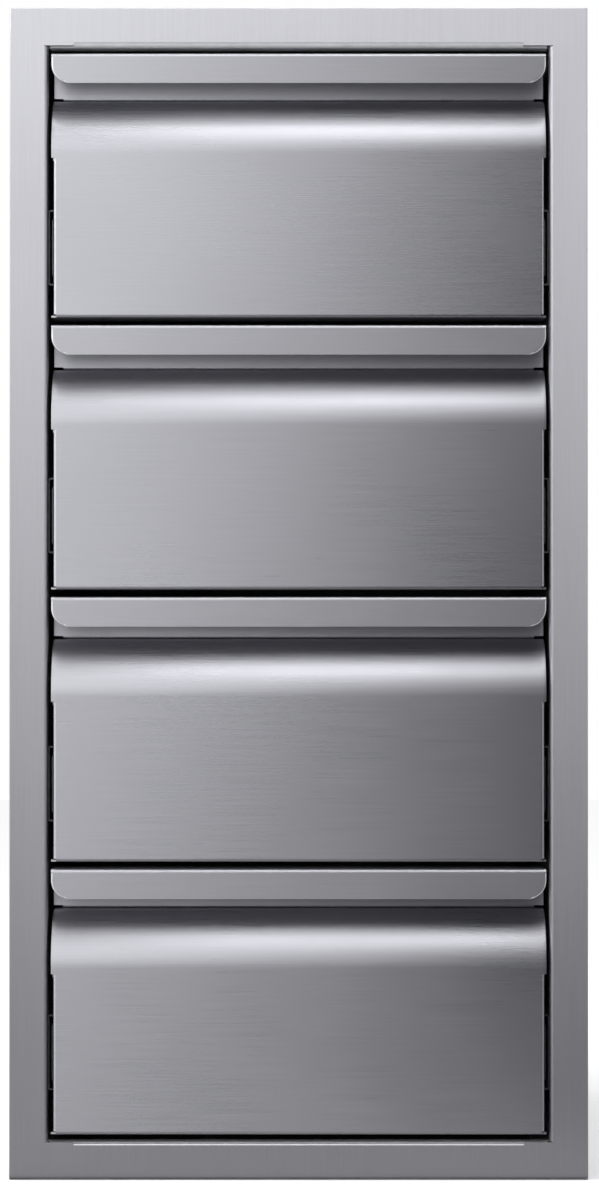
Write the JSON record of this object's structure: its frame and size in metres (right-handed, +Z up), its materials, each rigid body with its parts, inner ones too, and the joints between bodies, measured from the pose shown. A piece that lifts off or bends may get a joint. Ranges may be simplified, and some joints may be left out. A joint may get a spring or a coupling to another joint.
{
  "type": "outdoor kitchen drawer unit",
  "caption": "Built-in outdoor kitchen drawer unit: tall steel face frame and box with stacked drawers on full-extension ball-bearing slides, each front rolled back under a folded lip handle.",
  "frame": {"origin": "under the middle of the unit, level with the lowest edge of the face frame", "axes": "+X to the right seen from the front, -Y out of the front, +Z up"},
  "size_m": [0.343, 0.52, 0.6952],
  "materials": {
    "frame_steel": "brushed stainless, one direction of fine grain",
    "front_steel": "brushed stainless, one direction of fine grain",
    "panel_steel": "mill-finish steel sheet",
    "tray_steel": "satin steel sheet",
    "rail_steel": "zinc-plated rolled steel",
    "cage_steel": "pressed steel with polished balls"
  },
  "bodies": {
    "cabinet": {"face_frame": "frame_steel", "left_side_panel": "panel_steel", "right_side_panel": "panel_steel", "top_panel": "panel_steel", "bottom_panel": "panel_steel", "back_panel": "panel_steel", "drawer_1_left_cabinet_rail": "rail_steel", "drawer_1_right_cabinet_rail": "rail_steel", "drawer_2_left_cabinet_rail": "rail_steel", "drawer_2_right_cabinet_rail": "rail_steel", "drawer_3_left_cabinet_rail": "rail_steel", "drawer_3_right_cabinet_rail": "rail_steel", "drawer_4_left_cabinet_rail": "rail_steel", "drawer_4_right_cabinet_rail": "rail_steel"},
    "drawer_1": {"drawer_1_handle_channel": "front_steel", "drawer_1_front_skin": "front_steel", "drawer_1_tray": "tray_steel", "drawer_1_left_drawer_rail": "rail_steel", "drawer_1_right_drawer_rail": "rail_steel"},
    "drawer_1_left_outer_ball_cage_body": {"drawer_1_left_outer_ball_cage": "cage_steel"},
    "drawer_1_left_middle_rail_body": {"drawer_1_left_middle_rail": "rail_steel"},
    "drawer_1_left_inner_ball_cage_body": {"drawer_1_left_inner_ball_cage": "cage_steel"},
    "drawer_1_right_outer_ball_cage_body": {"drawer_1_right_outer_ball_cage": "cage_steel"},
    "drawer_1_right_middle_rail_body": {"drawer_1_right_middle_rail": "rail_steel"},
    "drawer_1_right_inner_ball_cage_body": {"drawer_1_right_inner_ball_cage": "cage_steel"},
    "drawer_2": {"drawer_2_handle_channel": "front_steel", "drawer_2_front_skin": "front_steel", "drawer_2_tray": "tray_steel", "drawer_2_left_drawer_rail": "rail_steel", "drawer_2_right_drawer_rail": "rail_steel"},
    "drawer_2_left_outer_ball_cage_body": {"drawer_2_left_outer_ball_cage": "cage_steel"},
    "drawer_2_left_middle_rail_body": {"drawer_2_left_middle_rail": "rail_steel"},
    "drawer_2_left_inner_ball_cage_body": {"drawer_2_left_inner_ball_cage": "cage_steel"},
    "drawer_2_right_outer_ball_cage_body": {"drawer_2_right_outer_ball_cage": "cage_steel"},
    "drawer_2_right_middle_rail_body": {"drawer_2_right_middle_rail": "rail_steel"},
    "drawer_2_right_inner_ball_cage_body": {"drawer_2_right_inner_ball_cage": "cage_steel"},
    "drawer_3": {"drawer_3_handle_channel": "front_steel", "drawer_3_front_skin": "front_steel", "drawer_3_tray": "tray_steel", "drawer_3_left_drawer_rail": "rail_steel", "drawer_3_right_drawer_rail": "rail_steel"},
    "drawer_3_left_outer_ball_cage_body": {"drawer_3_left_outer_ball_cage": "cage_steel"},
    "drawer_3_left_middle_rail_body": {"drawer_3_left_middle_rail": "rail_steel"},
    "drawer_3_left_inner_ball_cage_body": {"drawer_3_left_inner_ball_cage": "cage_steel"},
    "drawer_3_right_outer_ball_cage_body": {"drawer_3_right_outer_ball_cage": "cage_steel"},
    "drawer_3_right_middle_rail_body": {"drawer_3_right_middle_rail": "rail_steel"},
    "drawer_3_right_inner_ball_cage_body": {"drawer_3_right_inner_ball_cage": "cage_steel"},
    "drawer_4": {"drawer_4_handle_channel": "front_steel", "drawer_4_front_skin": "front_steel", "drawer_4_tray": "tray_steel", "drawer_4_left_drawer_rail": "rail_steel", "drawer_4_right_drawer_rail": "rail_steel"},
    "drawer_4_left_outer_ball_cage_body": {"drawer_4_left_outer_ball_cage": "cage_steel"},
    "drawer_4_left_middle_rail_body": {"drawer_4_left_middle_rail": "rail_steel"},
    "drawer_4_left_inner_ball_cage_body": {"drawer_4_left_inner_ball_cage": "cage_steel"},
    "drawer_4_right_outer_ball_cage_body": {"drawer_4_right_outer_ball_cage": "cage_steel"},
    "drawer_4_right_middle_rail_body": {"drawer_4_right_middle_rail": "rail_steel"},
    "drawer_4_right_inner_ball_cage_body": {"drawer_4_right_inner_ball_cage": "cage_steel"}
  },
  "joints": [
    {"name": "drawer_1_slide", "type": "slide", "parent": "cabinet", "child": "drawer_1", "axis": [0, -1, 0], "range_m": [0, 0.45]},
    {"name": "drawer_1_left_outer_ball_cage_slide", "type": "slide", "parent": "cabinet", "child": "drawer_1_left_outer_ball_cage_body", "axis": [0, -1, 0], "range_m": [0, 0.1125]},
    {"name": "drawer_1_left_middle_rail_slide", "type": "slide", "parent": "cabinet", "child": "drawer_1_left_middle_rail_body", "axis": [0, -1, 0], "range_m": [0, 0.225]},
    {"name": "drawer_1_left_inner_ball_cage_slide", "type": "slide", "parent": "cabinet", "child": "drawer_1_left_inner_ball_cage_body", "axis": [0, -1, 0], "range_m": [0, 0.3375]},
    {"name": "drawer_1_right_outer_ball_cage_slide", "type": "slide", "parent": "cabinet", "child": "drawer_1_right_outer_ball_cage_body", "axis": [0, -1, 0], "range_m": [0, 0.1125]},
    {"name": "drawer_1_right_middle_rail_slide", "type": "slide", "parent": "cabinet", "child": "drawer_1_right_middle_rail_body", "axis": [0, -1, 0], "range_m": [0, 0.225]},
    {"name": "drawer_1_right_inner_ball_cage_slide", "type": "slide", "parent": "cabinet", "child": "drawer_1_right_inner_ball_cage_body", "axis": [0, -1, 0], "range_m": [0, 0.3375]},
    {"name": "drawer_2_slide", "type": "slide", "parent": "cabinet", "child": "drawer_2", "axis": [0, -1, 0], "range_m": [0, 0.45]},
    {"name": "drawer_2_left_outer_ball_cage_slide", "type": "slide", "parent": "cabinet", "child": "drawer_2_left_outer_ball_cage_body", "axis": [0, -1, 0], "range_m": [0, 0.1125]},
    {"name": "drawer_2_left_middle_rail_slide", "type": "slide", "parent": "cabinet", "child": "drawer_2_left_middle_rail_body", "axis": [0, -1, 0], "range_m": [0, 0.225]},
    {"name": "drawer_2_left_inner_ball_cage_slide", "type": "slide", "parent": "cabinet", "child": "drawer_2_left_inner_ball_cage_body", "axis": [0, -1, 0], "range_m": [0, 0.3375]},
    {"name": "drawer_2_right_outer_ball_cage_slide", "type": "slide", "parent": "cabinet", "child": "drawer_2_right_outer_ball_cage_body", "axis": [0, -1, 0], "range_m": [0, 0.1125]},
    {"name": "drawer_2_right_middle_rail_slide", "type": "slide", "parent": "cabinet", "child": "drawer_2_right_middle_rail_body", "axis": [0, -1, 0], "range_m": [0, 0.225]},
    {"name": "drawer_2_right_inner_ball_cage_slide", "type": "slide", "parent": "cabinet", "child": "drawer_2_right_inner_ball_cage_body", "axis": [0, -1, 0], "range_m": [0, 0.3375]},
    {"name": "drawer_3_slide", "type": "slide", "parent": "cabinet", "child": "drawer_3", "axis": [0, -1, 0], "range_m": [0, 0.45]},
    {"name": "drawer_3_left_outer_ball_cage_slide", "type": "slide", "parent": "cabinet", "child": "drawer_3_left_outer_ball_cage_body", "axis": [0, -1, 0], "range_m": [0, 0.1125]},
    {"name": "drawer_3_left_middle_rail_slide", "type": "slide", "parent": "cabinet", "child": "drawer_3_left_middle_rail_body", "axis": [0, -1, 0], "range_m": [0, 0.225]},
    {"name": "drawer_3_left_inner_ball_cage_slide", "type": "slide", "parent": "cabinet", "child": "drawer_3_left_inner_ball_cage_body", "axis": [0, -1, 0], "range_m": [0, 0.3375]},
    {"name": "drawer_3_right_outer_ball_cage_slide", "type": "slide", "parent": "cabinet", "child": "drawer_3_right_outer_ball_cage_body", "axis": [0, -1, 0], "range_m": [0, 0.1125]},
    {"name": "drawer_3_right_middle_rail_slide", "type": "slide", "parent": "cabinet", "child": "drawer_3_right_middle_rail_body", "axis": [0, -1, 0], "range_m": [0, 0.225]},
    {"name": "drawer_3_right_inner_ball_cage_slide", "type": "slide", "parent": "cabinet", "child": "drawer_3_right_inner_ball_cage_body", "axis": [0, -1, 0], "range_m": [0, 0.3375]},
    {"name": "drawer_4_slide", "type": "slide", "parent": "cabinet", "child": "drawer_4", "axis": [0, -1, 0], "range_m": [0, 0.45]},
    {"name": "drawer_4_left_outer_ball_cage_slide", "type": "slide", "parent": "cabinet", "child": "drawer_4_left_outer_ball_cage_body", "axis": [0, -1, 0], "range_m": [0, 0.1125]},
    {"name": "drawer_4_left_middle_rail_slide", "type": "slide", "parent": "cabinet", "child": "drawer_4_left_middle_rail_body", "axis": [0, -1, 0], "range_m": [0, 0.225]},
    {"name": "drawer_4_left_inner_ball_cage_slide", "type": "slide", "parent": "cabinet", "child": "drawer_4_left_inner_ball_cage_body", "axis": [0, -1, 0], "range_m": [0, 0.3375]},
    {"name": "drawer_4_right_outer_ball_cage_slide", "type": "slide", "parent": "cabinet", "child": "drawer_4_right_outer_ball_cage_body", "axis": [0, -1, 0], "range_m": [0, 0.1125]},
    {"name": "drawer_4_right_middle_rail_slide", "type": "slide", "parent": "cabinet", "child": "drawer_4_right_middle_rail_body", "axis": [0, -1, 0], "range_m": [0, 0.225]},
    {"name": "drawer_4_right_inner_ball_cage_slide", "type": "slide", "parent": "cabinet", "child": "drawer_4_right_inner_ball_cage_body", "axis": [0, -1, 0], "range_m": [0, 0.3375]}
  ],
  "couplings": [
    {"joint": "drawer_1_left_outer_ball_cage_slide", "follows": "drawer_1_slide", "ratio": 0.25},
    {"joint": "drawer_1_left_middle_rail_slide", "follows": "drawer_1_slide", "ratio": 0.5},
    {"joint": "drawer_1_left_inner_ball_cage_slide", "follows": "drawer_1_slide", "ratio": 0.75},
    {"joint": "drawer_1_right_outer_ball_cage_slide", "follows": "drawer_1_slide", "ratio": 0.25},
    {"joint": "drawer_1_right_middle_rail_slide", "follows": "drawer_1_slide", "ratio": 0.5},
    {"joint": "drawer_1_right_inner_ball_cage_slide", "follows": "drawer_1_slide", "ratio": 0.75},
    {"joint": "drawer_2_left_outer_ball_cage_slide", "follows": "drawer_2_slide", "ratio": 0.25},
    {"joint": "drawer_2_left_middle_rail_slide", "follows": "drawer_2_slide", "ratio": 0.5},
    {"joint": "drawer_2_left_inner_ball_cage_slide", "follows": "drawer_2_slide", "ratio": 0.75},
    {"joint": "drawer_2_right_outer_ball_cage_slide", "follows": "drawer_2_slide", "ratio": 0.25},
    {"joint": "drawer_2_right_middle_rail_slide", "follows": "drawer_2_slide", "ratio": 0.5},
    {"joint": "drawer_2_right_inner_ball_cage_slide", "follows": "drawer_2_slide", "ratio": 0.75},
    {"joint": "drawer_3_left_outer_ball_cage_slide", "follows": "drawer_3_slide", "ratio": 0.25},
    {"joint": "drawer_3_left_middle_rail_slide", "follows": "drawer_3_slide", "ratio": 0.5},
    {"joint": "drawer_3_left_inner_ball_cage_slide", "follows": "drawer_3_slide", "ratio": 0.75},
    {"joint": "drawer_3_right_outer_ball_cage_slide", "follows": "drawer_3_slide", "ratio": 0.25},
    {"joint": "drawer_3_right_middle_rail_slide", "follows": "drawer_3_slide", "ratio": 0.5},
    {"joint": "drawer_3_right_inner_ball_cage_slide", "follows": "drawer_3_slide", "ratio": 0.75},
    {"joint": "drawer_4_left_outer_ball_cage_slide", "follows": "drawer_4_slide", "ratio": 0.25},
    {"joint": "drawer_4_left_middle_rail_slide", "follows": "drawer_4_slide", "ratio": 0.5},
    {"joint": "drawer_4_left_inner_ball_cage_slide", "follows": "drawer_4_slide", "ratio": 0.75},
    {"joint": "drawer_4_right_outer_ball_cage_slide", "follows": "drawer_4_slide", "ratio": 0.25},
    {"joint": "drawer_4_right_middle_rail_slide", "follows": "drawer_4_slide", "ratio": 0.5},
    {"joint": "drawer_4_right_inner_ball_cage_slide", "follows": "drawer_4_slide", "ratio": 0.75}
  ]
}
